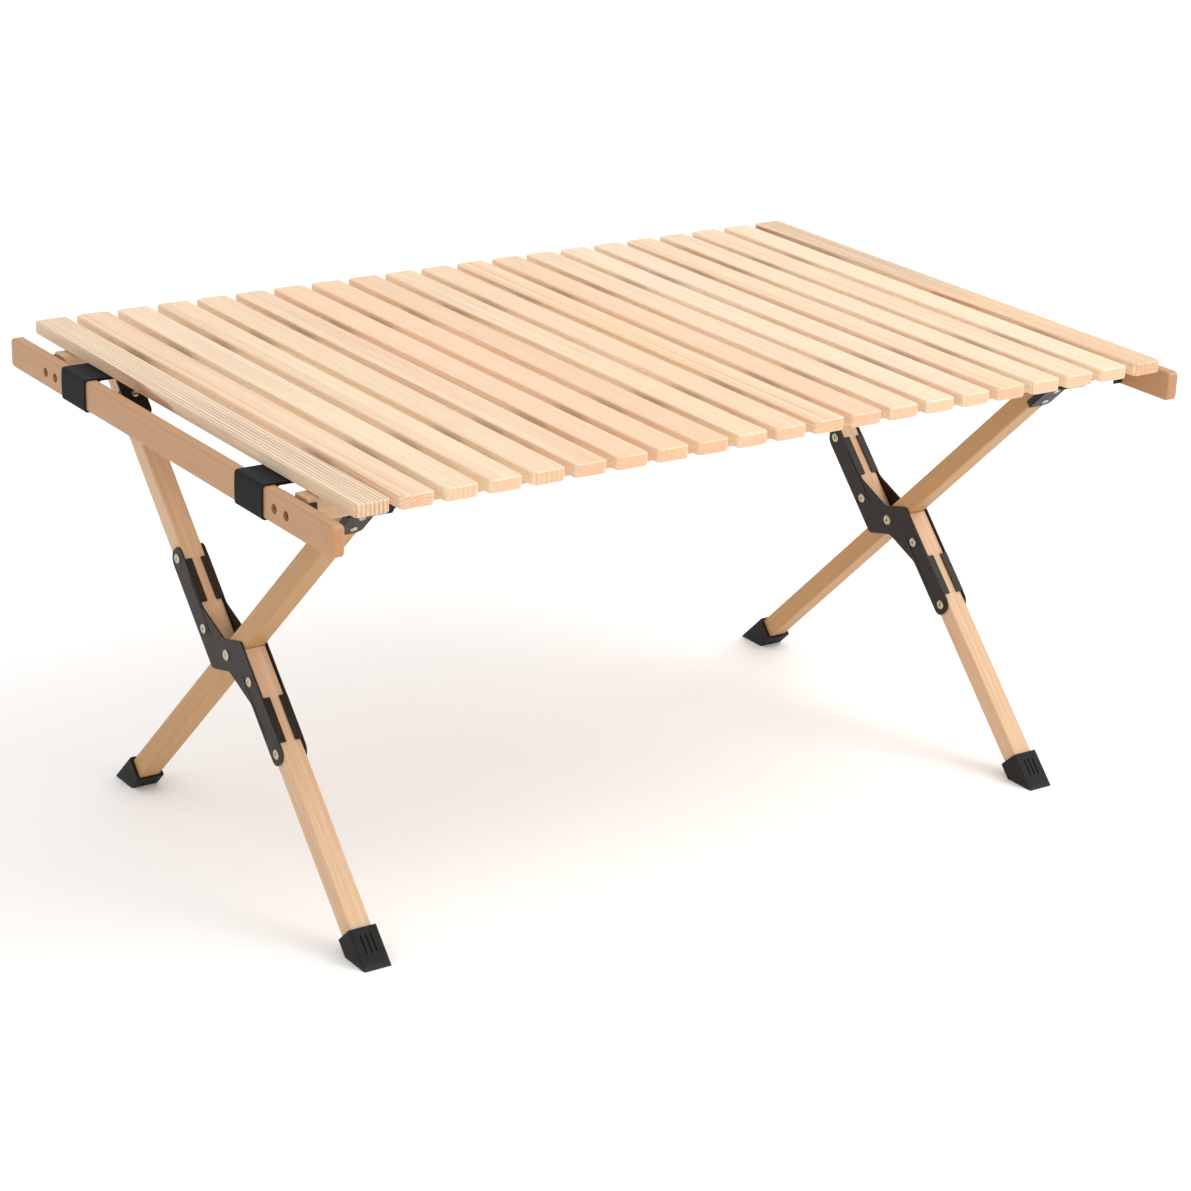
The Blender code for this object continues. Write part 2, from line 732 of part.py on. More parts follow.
def build_frame():
    pivot_place = (0, 0, PIVOT_Z)
    front_frame = add_pivot("front_frame_pivot", pivot_place)
    back_frame = add_pivot("back_frame_pivot", pivot_place)
    build_long_rail("front_long_rail", front_frame, -1)
    build_long_rail("back_long_rail", back_frame, 1)
    rail_half = LONG_RAIL_SECTION / 2
    for side, sign in SIDES:
        x = sign * LEG_X
        holes = hub_cutter(side, x, back_frame)
        build_through_leg(side, x, front_frame, holes)
        build_split_leg(side, x, back_frame, holes)
        build_hub(side, x, back_frame, front_frame, holes)
        cap = (x, front_frame, THROUGH_TILT, 0, THROUGH_CAP_TOP)
        build_cap(f"{side}_back_foot_cap", *cap)
        cap = (x, back_frame, SPLIT_TILT, -SPLIT_OFFSET, SPLIT_CAP_TOP)
        build_cap(f"{side}_front_foot_cap", *cap)
        face = -LONG_RAIL_Y - rail_half
        bracket = (x, front_frame, THROUGH_TILT, 0, face, True)
        build_bracket(f"{side}_front_corner_bracket", *bracket)
        face = LONG_RAIL_Y - rail_half
        bracket = (x, back_frame, SPLIT_TILT, SPLIT_OFFSET, face, False)
        build_bracket(f"{side}_back_corner_bracket", *bracket)


def build_top():
    build_slats()
    right_place = Vector((END_RAIL_X, 0, END_RAIL_Z))
    build_end_rail("right", 1, right_place)
    build_end_rail("left", -1, Vector((LEFT_HINGE_X, 0, STRAP_MID_Z)))
    build_straps()


clear_scene()
parts = new_collection("folding_picnic_table")
cutters = new_collection("cutters")
slat_wood = new_material("slat_wood", (0.78, 0.56, 0.36), 0.5)
rail_wood = new_material("rail_wood", (0.60, 0.38, 0.20), 0.5)
dark_steel = new_material("dark_steel", (0.035, 0.028, 0.022), 0.4, 0.3)
nickel = new_material("nickel", (0.62, 0.57, 0.48), 0.35, 1.0)
rubber = new_material("rubber", (0.02, 0.02, 0.02), 0.75)
webbing = new_material("webbing", (0.012, 0.012, 0.014), 0.9)
build_frame()
build_top()
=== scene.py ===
"""Looks for the folding picnic table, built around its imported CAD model.

Metres, +Z up. The origin is on the floor under the middle of the table, X runs
along the table and Y along the slats, with the front at -Y.
"""

import json
import math
import random
from collections import namedtuple

import bmesh
import bpy
from mathutils import Euler, Matrix, Vector


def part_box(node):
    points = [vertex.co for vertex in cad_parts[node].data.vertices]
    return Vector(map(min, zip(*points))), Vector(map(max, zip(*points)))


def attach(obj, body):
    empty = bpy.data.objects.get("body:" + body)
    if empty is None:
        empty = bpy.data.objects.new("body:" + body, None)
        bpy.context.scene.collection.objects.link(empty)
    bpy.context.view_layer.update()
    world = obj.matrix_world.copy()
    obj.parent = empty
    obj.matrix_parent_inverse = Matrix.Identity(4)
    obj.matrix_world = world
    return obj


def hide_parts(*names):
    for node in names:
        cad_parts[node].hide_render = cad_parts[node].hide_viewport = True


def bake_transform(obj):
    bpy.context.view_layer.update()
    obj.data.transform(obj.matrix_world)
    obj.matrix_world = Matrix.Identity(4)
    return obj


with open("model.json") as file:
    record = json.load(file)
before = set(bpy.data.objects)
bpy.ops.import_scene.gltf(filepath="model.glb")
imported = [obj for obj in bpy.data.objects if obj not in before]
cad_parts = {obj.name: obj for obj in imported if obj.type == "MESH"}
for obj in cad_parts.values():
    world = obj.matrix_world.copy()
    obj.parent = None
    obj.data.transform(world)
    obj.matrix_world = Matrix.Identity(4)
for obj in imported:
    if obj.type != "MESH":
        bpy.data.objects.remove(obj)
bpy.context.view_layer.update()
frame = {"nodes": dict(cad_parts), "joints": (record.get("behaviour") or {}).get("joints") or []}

# ------------------------------------------------------------ the frame's sizes
SLATS = [f"slat_{number:02d}" for number in range(1, 22)]
SIDES = (("left", -1), ("right", 1))
ROWS = (("front", -1), ("back", 1))
ALONG_X, ALONG_Y, ALONG_Z = (1, 0, 0), (0, 1, 0), (0, 0, 1)


def joint_height(name):
    return next(j["pos_m"][2] for j in frame["joints"] if j["name"] == name)


HUB_Z = joint_height("frame_fold")
ROLL_Z = joint_height("top_roll_21")

# Sizes that the CAD model has too
THROUGH_TILT = math.radians(90 - 44.5)  # the legs' lean from upright, about X
SPLIT_TILT = math.radians(46 - 90)
SPLIT_OFFSET = 0.0235  # the split legs' middle line from the hub
LEG_HALF = 0.011
LEG_DEPTH_HALF = 0.010
END_RAIL_THICKNESS = 0.012
SHEET = 0.0018  # the thickness of brackets and plates
GAP = 0.0003  # between parts that touch on a real table
RIVET_PLACES = (0.038, 0.1105)  # along a split leg from the hub
STRAP_Y = 0.166
STRAP_WIDTH = 0.048
STRAP_THICKNESS = 0.0015
KEEPER_SCREW_Y = (0.2075, 0.2275)
KEEPER_HOLE_DEPTH = 0.004

# Sizes of the details added here
ON_AXIS = 1e-7  # a turned profile's point closer than this is on its axis
RIVET_HEIGHT = 0.0014
# how far each rivet's painted-shade disc sits out from the floor of its hole
HOLE_SHADE_LIFT = 0.0003
BEAD_ACROSS = 0.0150  # from the middle line between the plate's arms
BEAD_START, BEAD_END = 0.020, 0.096
BEAD_STEPS = 26
BEAD_HEIGHT = 0.0007
BEAD_HALF = 0.0016
BEAD_SINK = 0.0001
LEG_ARM_SCREWS = (0.010, 0.030)  # up a bracket's leg arm from its lower end
RAIL_ARM_SCREWS = (0.029, 0.012)  # along a bracket's rail arm from the leg's side
RAIL_ARM_DROP = 0.0082
SCREW_SPIN = 1.5
TACK_PLACES = (-0.013, 0.013)
WRAP_RADIUS = 0.0032
WRAP_BULGE = 0.0004
WRAP_SPACING = 0.0022
RIB_PITCH, TWILL_PITCH, PLY_PITCH = 0.0017, 0.0012, 0.0006
STITCH_COUNT = 15
STITCH_PITCH = 0.0030
STITCH_INSETS = (0.0035, 0.0075)
STITCH_RADII = (0.00034, 0.00105, 0.00022)

# The view: millimetres, metres and degrees
CAMERA_LENS = 93.957
CAMERA_SHIFT = 0.1
CAMERA_PLACE = (-1.6439, -2.3359, 1.2776)
CAMERA_TURN = (67.0364, -2.1811, -34.4272)


# ------------------------------------------------------------ node helpers
class Nodes:
    """A material's node tree, with a short way to add each kind of node."""

    def __init__(self, name):
        self.mat = bpy.data.materials.new(name)
        self.mat.use_nodes = True
        self.tree = self.mat.node_tree
        self.shader = self.tree.nodes["Principled BSDF"]
        coordinates = self.add("ShaderNodeTexCoord").outputs
        self.place = coordinates["Object"]
        self.normal = coordinates["Normal"]

    def add(self, kind, **settings):
        node = self.tree.nodes.new(kind)
        for key, value in settings.items():
            setattr(node, key, value)
        return node

    def feed(self, socket, value):
        if isinstance(value, bpy.types.NodeSocket):
            self.tree.links.new(value, socket)
        else:
            socket.default_value = value

    def maths(self, operation, *values, clamp=False):
        node = self.add("ShaderNodeMath", operation=operation, use_clamp=clamp)
        for socket, value in zip(node.inputs, values):
            self.feed(socket, value)
        return node.outputs[0]

    def dot(self, vector, other):
        node = self.add("ShaderNodeVectorMath", operation="DOT_PRODUCT")
        self.feed(node.inputs[0], vector)
        self.feed(node.inputs[1], other)
        return node.outputs["Value"]

    def combine(self, x, y, z):
        node = self.add("ShaderNodeCombineXYZ")
        for socket, value in zip(node.inputs, (x, y, z)):
            self.feed(socket, value)
        return node.outputs[0]

    def noise(self, vector, scale, detail=3.0, roughness=0.5, seed=None):
        kind = "3D" if seed is None else "4D"
        node = self.add("ShaderNodeTexNoise", noise_dimensions=kind)
        self.feed(node.inputs["Vector"], vector)
        self.feed(node.inputs["Scale"], scale)
        self.feed(node.inputs["Detail"], detail)
        self.feed(node.inputs["Roughness"], roughness)
        if seed is not None:
            self.feed(node.inputs["W"], seed)
        return node.outputs[0]

    def ramp(self, value, stops):
        node = self.add("ShaderNodeValToRGB")
        elements = node.color_ramp.elements
        while len(elements) < len(stops):
            elements.new(0.5)
        for element, (place, colour) in zip(elements, stops):
            element.position = place
            if isinstance(colour, (int, float)):
                colour = (colour, colour, colour)
            element.color = (*colour, 1.0)
        self.feed(node.inputs[0], value)
        return node.outputs[0]

    def mix(self, factor, first, second, blend="MIX"):
        node = self.add("ShaderNodeMix", data_type="RGBA", blend_type=blend)
        self.feed(node.inputs["Factor"], factor)
        for key, value in (("A", first), ("B", second)):
            socket = [s for s in node.inputs if s.name == key and s.type == "RGBA"][0]
            if isinstance(value, tuple):
                value = (*value, 1.0)
            self.feed(socket, value)
        return [s for s in node.outputs if s.type == "RGBA"][0]

    def bump(self, height, strength, distance):
        node = self.add("ShaderNodeBump")
        self.feed(node.inputs["Height"], height)
        self.feed(node.inputs["Strength"], strength)
        self.feed(node.inputs["Distance"], distance)
        self.feed(self.shader.inputs["Normal"], node.outputs[0])

    def finish(self, colour, roughness, **others):
        self.feed(self.shader.inputs["Base Color"], colour)
        self.feed(self.shader.inputs["Roughness"], roughness)
        for name, value in others.items():
            self.feed(self.shader.inputs[name.replace("_", " ")], value)
        return self.mat


def linear(red, green, blue):
    """A colour seen on screen, from 0 to 255, as the renderer's own numbers."""

    def one(value):
        value = value / 255
        return value / 12.92 if value < 0.04045 else ((value + 0.055) / 1.055) ** 2.4

    return one(red), one(green), one(blue)


# ------------------------------------------------------------ wood
# A board's own axes and its middle. Growth rings: the pith's place from the board's
# middle, the ring width, how strongly rings show, how far they wander, and their
# lean along the board.
Board = namedtuple("Board", "grain across up centre")
Rings = namedtuple("Rings", "pith_across pith_up width contrast swirl lean seed")

# How fast each pattern changes across the grain and along it, in cycles per metre
SWIRL_RATES = (9.0, 1.9)
WOBBLE_RATES = (60.0, 5.0)
STREAK_RATES = (210.0, 4.0)
FIBRE_RATES = (1500.0, 22.0)
PORE_RATES = (1900.0, 90.0)
WOBBLE_SIZE = 0.0011
STREAK_SHARE, PATCH_SHARE, PORE_SHARE = 0.42, 0.6, 0.38
RING_PROFILE = [
    (0.0, 0.10),
    (0.35, 0.05),
    (0.72, 0.42),
    (0.90, 1.0),
    (0.985, 0.75),
    (1.0, 0.10),
]


def board_of(node, grain, across, up):
    low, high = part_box(node)
    return Board(grain, across, up, (low + high) / 2)


def wood(name, board, light, dark, rings, tone, ends=0.0):
    """Sawn timber cut from one tree: growth rings about a pith line, fibre and pores.

    tone tints the warm patches, and ends is how far the two sawn ends are darkened.
    """
    n = Nodes(name)
    offset = n.add("ShaderNodeVectorMath", operation="SUBTRACT")
    n.feed(offset.inputs[0], n.place)
    n.feed(offset.inputs[1], board.centre)
    local = offset.outputs[0]
    along = n.dot(local, board.grain)
    u = n.dot(local, board.across)
    v = n.dot(local, board.up)

    def stretched(rates):
        crosswise, lengthwise = rates
        return n.combine(
            n.maths("MULTIPLY", u, crosswise),
            n.maths("MULTIPLY", v, crosswise),
            n.maths("MULTIPLY", along, lengthwise),
        )

    slow = stretched(SWIRL_RATES)
    swirl = n.maths("SUBTRACT", n.noise(slow, 1.0, 2.0, 0.45, rings.seed), 0.5)
    wobble = n.noise(stretched(WOBBLE_RATES), 1.0, 2.0, 0.5, rings.seed + 3.0)
    wobble = n.maths("SUBTRACT", wobble, 0.5)
    drift = n.maths("MULTIPLY_ADD", wobble, WOBBLE_SIZE, n.maths("MULTIPLY", swirl, rings.swirl))
    drift = n.maths("MULTIPLY_ADD", along, rings.lean, drift)
    du = n.maths("SUBTRACT", n.maths("ADD", u, drift), rings.pith_across)
    dv = n.maths("SUBTRACT", v, rings.pith_up)
    squares = n.maths("ADD", n.maths("MULTIPLY", du, du), n.maths("MULTIPLY", dv, dv))
    turn = n.maths("FRACT", n.maths("DIVIDE", n.maths("SQRT", squares), rings.width))
    ring = n.ramp(turn, RING_PROFILE)

    fibre = n.noise(stretched(FIBRE_RATES), 1.0, 3.0, 0.6, rings.seed + 7.0)
    streak = n.noise(stretched(STREAK_RATES), 1.0, 3.0, 0.55, rings.seed + 11.0)
    patch = n.noise(slow, 1.7, 3.0, 0.5, rings.seed + 17.0)
    pore = n.noise(stretched(PORE_RATES), 1.0, 1.0, 0.4, rings.seed + 23.0)
    streaks = n.ramp(streak, [(0.30, 0.0), (0.75, 1.0)])
    patches = n.ramp(patch, [(0.35, 0.0), (0.68, 1.0)])
    pores = n.ramp(pore, [(0.22, 1.0), (0.34, 0.0)])

    warm = tuple(min(1.0, c * t) for c, t in zip(light, tone))
    deep = tuple(0.42 * c for c in dark)
    base = n.mix(n.maths("MULTIPLY", ring, rings.contrast), light, dark)
    base = n.mix(n.maths("MULTIPLY", streaks, STREAK_SHARE), base, dark)
    base = n.mix(n.maths("MULTIPLY", patches, PATCH_SHARE), base, warm)
    base = n.mix(n.maths("MULTIPLY", pores, PORE_SHARE), base, deep)
    base = n.mix(1.0, base, n.ramp(fibre, [(0.25, 0.82), (0.75, 1.08)]), "MULTIPLY")
    if ends:
        base = end_grain(n, base, board.grain, ends)

    relief = n.maths("MULTIPLY_ADD", ring, -0.35, n.maths("MULTIPLY", fibre, 0.8))
    n.bump(n.maths("SUBTRACT", relief, pores), 0.22, 0.00025)
    rough = n.ramp(fibre, [(0.2, 0.46), (0.8, 0.60)])
    return n.finish(base, rough, Coat_Weight=0.12, Coat_Roughness=0.32)


def end_grain(n, colour, axis, amount):
    """Darken the two sawn ends of a board, where the cut fibres soak up lacquer."""
    facing_end = n.maths("ABSOLUTE", n.dot(n.normal, axis))
    share = n.maths("MULTIPLY_ADD", facing_end, 4.0, -3.0, clamp=True)
    return n.mix(n.maths("MULTIPLY", share, amount), colour, SOAKED, "MULTIPLY")


PALE = (linear(245, 221, 190), linear(244, 217, 184), linear(247, 226, 198))
PINK = (linear(243, 211, 178), linear(242, 207, 173))
RING_DARK = (linear(200, 146, 100), linear(194, 138, 94), linear(206, 156, 112))
SOAKED = linear(238, 206, 186)
SLAT_ENDS, RAIL_ENDS = 0.55, 0.45
STRONG = {1: 0.95, 2: 0.70, 12: 0.75, 21: 0.95}  # the contrast of slats with bold rings
PINK_SLATS = (7, 8, 9, 13)
END_SLATS = (1, 21)
END_SLAT_DARK = linear(150, 88, 52)
BROWN_SLATS = (12, 21)
BROWN_TONE = (0.98, 0.80, 0.60)


def slat_rings(draw, flat_sawn, contrast, seed):
    """Wandering rings near the pith in a flat-sawn slat, straight lines in the others."""
    if flat_sawn:
        pith_up = draw.uniform(0.02, 0.045) * draw.choice((-1, 1))
        pith_across = draw.uniform(-0.012, 0.012)
        width = draw.uniform(0.0026, 0.0038)
        swirl = draw.uniform(0.006, 0.014)
    else:
        pith_up = draw.uniform(-0.01, 0.01)
        pith_across = draw.choice((-1, 1)) * draw.uniform(0.05, 0.11)
        width = draw.uniform(0.0030, 0.0052)
        swirl = draw.uniform(0.002, 0.006)
    lean = draw.uniform(-0.012, 0.012)
    return Rings(pith_across, pith_up, width, contrast, swirl, lean, seed)


def paint_slats():
    draw = random.Random(21)
    for number, name in enumerate(SLATS, 1):
        contrast = STRONG.get(number, draw.uniform(0.26, 0.58))
        light = draw.choice(PINK if number in PINK_SLATS else PALE)
        dark = draw.choice(RING_DARK)
        if number in END_SLATS:
            dark = END_SLAT_DARK
        flat_sawn = draw.random() < 0.45 and number not in END_SLATS
        rings = slat_rings(draw, flat_sawn, contrast, 10.0 * number)
        tone = (draw.uniform(0.97, 1.02), draw.uniform(0.91, 0.98), draw.uniform(0.82, 0.94))
        if number in BROWN_SLATS:
            tone = BROWN_TONE
        board = board_of(name, ALONG_Y, ALONG_X, ALONG_Z)
        mat = wood(f"slat_wood_{number:02d}", board, light, dark, rings, tone, SLAT_ENDS)
        paint(name, mat)


def paint(name, mat):
    for slot in frame["nodes"][name].material_slots:
        slot.material = mat


def paint_rails_and_legs():
    """Beech, with faint rings. Each board's rings are given without their seed. The end rails and
    the through legs get darker copies of the beech as painted shade.
    """
    dark = linear(176, 124, 76)
    # Painted shade: golden is the beech's colour on faces turned away from the light, given to the
    # through legs, whose faces point down.
    shaded_golden = linear(190, 147, 95)
    rosy = linear(220, 186, 152)
    # Painted shade: tan is the beech's colour on the end rails' outer faces, which face away from
    # the light.
    shaded_tan = linear(192, 148, 108)
    tone = (1.0, 0.93, 0.84)
    boards = []
    for side, _ in SIDES:
        axes = (ALONG_Y, ALONG_X, ALONG_Z)
        rings = (0.07, 0.05, 0.0034, 0.14, 0.004, 0.004)
        boards.append((f"{side}_end_rail", f"end_rail_wood_{side}", axes, shaded_tan, rings, RAIL_ENDS))
    for row, _ in ROWS:
        axes = (ALONG_X, ALONG_Y, ALONG_Z)
        rings = (0.05, 0.06, 0.0036, 0.18, 0.005, 0.003)
        boards.append((f"{row}_long_rail", f"long_rail_wood_{row}", axes, rosy, rings, RAIL_ENDS))
    for side, _ in SIDES:
        for part in ("through", "upper", "lower"):
            tilt, light = (THROUGH_TILT, shaded_golden) if part == "through" else (SPLIT_TILT, rosy)
            grain = (0, -math.sin(tilt), math.cos(tilt))
            square = (0, math.cos(tilt), math.sin(tilt))
            axes = (grain, ALONG_X, square)
            rings = (0.045, 0.06, 0.0038, 0.16, 0.006, 0.006)
            boards.append((f"{side}_{part}_leg", f"leg_wood_{side}_{part}", axes, light, rings, 0))
    for index, (node, name, axes, light, rings, ends) in enumerate(boards):
        rings = Rings(*rings, seed=400.0 + 40.0 * index)
        paint(node, wood(name, board_of(node, *axes), light, dark, rings, tone, ends))


# ------------------------------------------------------------ steel, rubber, webbing
def painted_steel():
    n = Nodes("baked_enamel_steel")
    mottle = n.noise(n.place, 42.0, 4.0, 0.6)
    peel = n.noise(n.place, 900.0, 2.0, 0.5)
    scuff = n.ramp(n.noise(n.place, 130.0, 5.0, 0.7), [(0.62, 0.0), (0.78, 1.0)])
    base = n.mix(mottle, linear(27, 20, 16), linear(43, 34, 27))
    base = n.mix(n.maths("MULTIPLY", scuff, 0.25), base, linear(74, 60, 49))
    rough = n.maths("MULTIPLY_ADD", mottle, 0.20, 0.34)
    n.bump(n.maths("ADD", peel, n.maths("MULTIPLY", scuff, -0.6)), 0.16, 0.0002)
    return n.finish(base, rough, Specular_IOR_Level=0.22, Coat_Weight=0.04, Coat_Roughness=0.25)


def plated_steel(name, first, second):
    n = Nodes(name)
    wear = n.noise(n.place, 380.0, 4.0, 0.6)
    base = n.mix(n.ramp(wear, [(0.35, 0.0), (0.7, 1.0)]), first, second)
    rough = n.maths("MULTIPLY_ADD", wear, 0.25, 0.18)
    n.bump(n.noise(n.place, 1700.0, 2.0, 0.5), 0.12, 0.0001)
    return n.finish(base, rough, Metallic=1.0)


def moulded_rubber():
    n = Nodes("moulded_rubber")
    grain = n.noise(n.place, 2600.0, 3.0, 0.6)
    dust = n.noise(n.place, 60.0, 4.0, 0.65)
    base = n.mix(n.ramp(dust, [(0.45, 0.0), (0.8, 1.0)]), linear(14, 14, 15), linear(27, 27, 27))
    height = n.dot(n.place, (0.0, 0.0, 1.0))
    scuffed = n.ramp(n.maths("MULTIPLY", height, 60.0), [(0.0, 0.45), (0.35, 0.0)])
    base = n.mix(n.maths("MULTIPLY", scuffed, dust), base, linear(78, 74, 70))
    n.bump(grain, 0.35, 0.0002)
    return n.finish(base, n.maths("MULTIPLY_ADD", dust, 0.25, 0.52), Specular_IOR_Level=0.28)


def woven_webbing():
    """Twill: ribs that run along the strap, crossed by a fine diagonal."""
    n = Nodes("woven_webbing")
    run = n.add("ShaderNodeAttribute", attribute_name="strap_run").outputs["Fac"]
    side = n.add("ShaderNodeAttribute", attribute_name="strap_side").outputs["Fac"]
    rib = n.maths("SINE", n.maths("MULTIPLY", side, 2 * math.pi / RIB_PITCH))
    slant = n.maths("MULTIPLY_ADD", side, 0.8, run)
    twill = n.maths("SINE", n.maths("MULTIPLY", slant, 2 * math.pi / TWILL_PITCH))
    crossed = n.maths("MULTIPLY", rib, twill)
    weave = n.maths("MULTIPLY_ADD", crossed, 0.5, n.maths("MULTIPLY", rib, 0.25))
    fuzz = n.noise(n.place, 2400.0, 3.0, 0.7)
    share = n.ramp(n.maths("MULTIPLY_ADD", weave, 0.5, 0.5), [(0.1, 0.0), (0.9, 1.0)])
    base = n.mix(share, linear(7, 7, 8), linear(22, 22, 24))
    cloud = n.maths("MULTIPLY", n.noise(n.place, 70.0, 3.0, 0.6), 0.35)
    base = n.mix(cloud, base, linear(16, 16, 18))
    n.bump(n.maths("MULTIPLY_ADD", fuzz, 0.5, weave), 0.55, 0.00035)
    return n.finish(base, 0.82, Specular_IOR_Level=0.25, Sheen_Weight=0.03, Sheen_Roughness=0.4)


def sewing_thread():
    n = Nodes("sewing_thread")
    slant = n.dot(n.place, (1.0, 1.0, 0.4))
    ply = n.maths("SINE", n.maths("MULTIPLY", slant, 2 * math.pi / PLY_PITCH))
    base = n.mix(n.maths("MULTIPLY_ADD", ply, 0.5, 0.5), linear(22, 22, 24), linear(52, 52, 56))
    n.bump(ply, 0.4, 0.0001)
    return n.finish(base, 0.65, Sheen_Weight=0.2)


# ------------------------------------------------------------ mesh helpers
def new_object(name, mesh, mat, body):
    mesh.materials.clear()
    mesh.materials.append(mat)
    obj = bpy.data.objects.new(name, mesh)
    bpy.context.scene.collection.objects.link(obj)
    if body:
        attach(obj, body)
    return obj


def mesh_from(name, bm, smooth=0.6):
    bmesh.ops.recalc_face_normals(bm, faces=bm.faces)
    mesh = bpy.data.meshes.new(name)
    bm.to_mesh(mesh)
    bm.free()
    mesh.shade_smooth()
    mesh.set_sharp_from_angle(angle=smooth)
    return mesh


def turned(profile, sides=32):
    """A bmesh turned about Z from (radius, height) points."""
    bm = bmesh.new()
    turn = 2 * math.pi / sides
    rings = []
    for radius, height in profile:
        if radius < ON_AXIS:
            rings.append([bm.verts.new((0, 0, height))])
            continue
        ring = []
        for i in range(sides):
            place = (radius * math.cos(i * turn), radius * math.sin(i * turn), height)
            ring.append(bm.verts.new(place))
        rings.append(ring)
    for lower, upper in zip(rings, rings[1:]):
        for i in range(sides):
            j = (i + 1) % sides
            corners = (
                lower[i % len(lower)],
                lower[j % len(lower)],
                upper[j % len(upper)],
                upper[i % len(upper)],
            )
            corners = list(dict.fromkeys(corners))
            if len(corners) > 2:
                bm.faces.new(corners)
    return bm


def facing(direction, place):
    """A matrix that turns local +Z to a direction and moves the origin to a place."""
    turn = Vector((0, 0, 1)).rotation_difference(Vector(direction)).to_matrix().to_4x4()
    return Matrix.Translation(place) @ turn


def scattered(name, template, places, spin=0.0):
    """One mesh made of a template put down at each place."""
    bm = bmesh.new()
    draw = random.Random(name)
    for matrix in places:
        before = len(bm.verts)
        bm.from_mesh(template)
        bm.verts.ensure_lookup_table()
        turn = Matrix.Rotation(draw.uniform(-spin, spin), 4, "Z")
        bmesh.ops.transform(bm, matrix=matrix @ turn, verts=bm.verts[before:])
    return mesh_from(name, bm)


def screw_template(radius, height):
    """A pan head with a cross recess, on +Z."""
    angles = [math.radians(a) for a in (90, 75, 58, 40, 22, 6)]
    dome = [(radius * math.cos(a), height * (0.25 + 0.75 * math.sin(a))) for a in angles]
    head = turned([(0, height)] + dome[1:] + [(radius, 0), (0, 0)])
    body = bpy.data.objects.new("screw_head", mesh_from("screw_head", head))
    cross = bmesh.new()
    length, width = 1.24 * radius, 0.32 * radius
    for size in ((length, width), (width, length)):
        verts = bmesh.ops.create_cube(cross, size=1.0)["verts"]
        bmesh.ops.scale(cross, vec=(*size, height * 1.1), verts=verts)
        bmesh.ops.translate(cross, vec=(0, 0, height * 0.95), verts=verts)
        for vert in verts:
            if vert.co.z < height:
                vert.co.x *= 0.35 if size[0] > size[1] else 0.8
                vert.co.y *= 0.35 if size[1] > size[0] else 0.8
    cutter_mesh = bpy.data.meshes.new("cross")
    cross.to_mesh(cutter_mesh)
    cross.free()
    cutter = bpy.data.objects.new("cross", cutter_mesh)
    for obj in (body, cutter):
        bpy.context.scene.collection.objects.link(obj)
    cut = body.modifiers.new("cut", "BOOLEAN")
    cut.object = cutter
    cut.solver = "EXACT"
    cut.use_self = True
    seen = body.evaluated_get(bpy.context.evaluated_depsgraph_get())
    result = bpy.data.meshes.new_from_object(seen)
    for obj in (body, cutter):
        bpy.data.objects.remove(obj)
    return result


# ------------------------------------------------------------ rivets and plate beads
def leg_point(x, tilt, across, along):
    """A point from leg axes: across is square to the leg and along runs up it."""
    spot = Matrix.Rotation(tilt, 3, "X") @ Vector((0, across, along))
    return Vector((x, spot.y, HUB_Z + spot.z))


def rivet_profile(radius, height, reach):
    """A tubular rivet from the middle out: shank, underside, dome, and open eye."""
    return [
        (0, reach),
        (0.20 * radius, reach),
        (0.24 * radius, reach + 0.45 * height),
        (0.34 * radius, reach + 0.95 * height),
        (0.50 * radius, reach + height),
        (0.74 * radius, reach + 0.86 * height),
        (0.93 * radius, reach + 0.52 * height),
        (radius, reach + 0.12 * height),
        (0.98 * radius, reach),
        (0.0024, reach),
    ]


def rivet_spots():
    """Each rivet's place across and up the split leg, its radius and its body."""
    spots = {"pivot": (0, 0, 0.0052, "front_frame")}
    for half, way in (("upper", 1), ("lower", -1)):
        for place, along in zip(("inner", "outer"), RIVET_PLACES):
            spots[f"{half}_{place}"] = (way * SPLIT_OFFSET, way * along, 0.0047, "back_frame")
    return spots


def rivet_hole_shade(centre, reach, radius):
    """Painted shade: a dark steel disc at the bottom of each of a rivet's two open ends, where the
    hole is in shade.
    """
    shade_discs = bmesh.new()
    for way in (-1, 1):
        place = centre + Vector((way * (reach + HOLE_SHADE_LIFT), 0, 0))
        shape = Matrix.Translation(place) @ Matrix.Diagonal((0.4, 1, 1, 1))
        bmesh.ops.create_uvsphere(
            shade_discs, u_segments=16, v_segments=8, radius=0.30 * radius, matrix=shape
        )
    return mesh_from("shade_discs", shade_discs)


def build_rivets(nickel, dark):
    for side, _ in SIDES:
        low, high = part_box(f"{side}_pivot_rivet")
        x = (low.x + high.x) / 2
        reach = (high.x - low.x) / 2 - RIVET_HEIGHT
        for name, (across, along, radius, body) in rivet_spots().items():
            profile = rivet_profile(radius, RIVET_HEIGHT, reach)
            profile += [(r, -z) for r, z in reversed(profile)]
            mesh = mesh_from("rivet", turned(profile), 0.7)
            centre = leg_point(x, SPLIT_TILT, across, along)
            mesh.transform(facing((1, 0, 0), centre))
            rivet = new_object(f"{side}_{name}_rivet_turned", mesh, nickel, body)
            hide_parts(f"{side}_{name}_rivet")
            # Painted shade: dark discs in the rivet's open ends stand for the shade inside the
            # holes.
            mesh = rivet_hole_shade(centre, reach, radius)
            new_object(f"{side}_{name}_rivet_hole_shade", mesh, dark, body)


